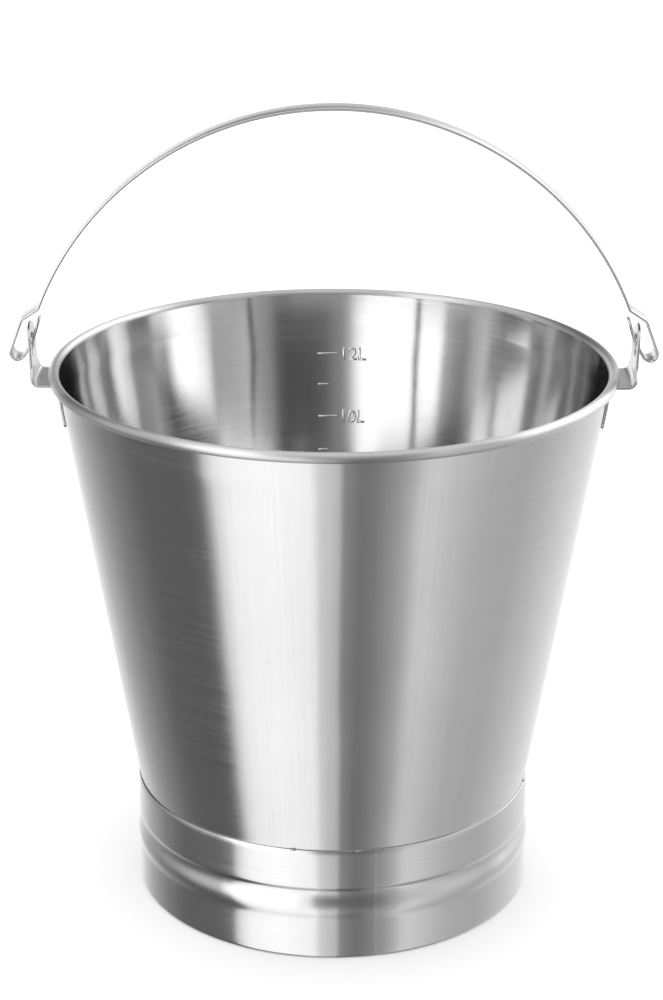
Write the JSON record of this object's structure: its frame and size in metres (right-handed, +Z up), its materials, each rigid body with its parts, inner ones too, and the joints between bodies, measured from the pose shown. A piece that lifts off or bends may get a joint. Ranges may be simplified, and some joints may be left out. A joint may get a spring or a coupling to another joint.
{
  "type": "milk pail",
  "caption": "Open stainless steel milk pail with a tapered body, rolled rim, base ring and a swinging flat bail handle.",
  "frame": {"origin": "centre of the foot circle, on the surface that the pail stands on", "axes": "+Z up along the pail's axis, X through the two ears, which is the bail's hinge line, +X to the right ear"},
  "size_m": [0.352, 0.31, 0.4463],
  "materials": {
    "body_steel": "fine circumferential brush lines",
    "wire_steel": "drawn wire",
    "floor_steel": "fine circular brush lines",
    "ring_steel": "fine circumferential brush lines",
    "ear_steel": "brushed sheet with rounded edges",
    "bail_steel": "brushed lengthways, polished edges"
  },
  "bodies": {
    "pail": {"pail_body": "body_steel", "rim_wire": "wire_steel", "bottom_disc": "floor_steel", "base_ring": "ring_steel", "ear_left": "ear_steel", "ear_right": "ear_steel"},
    "handle": {"bail": "bail_steel"}
  },
  "joints": [
    {"name": "bail_swing", "type": "hinge", "parent": "pail", "child": "handle", "pos_m": [0, 0, 0.3155], "axis": [1, 0, 0], "range_deg": [-92, 92]}
  ]
}
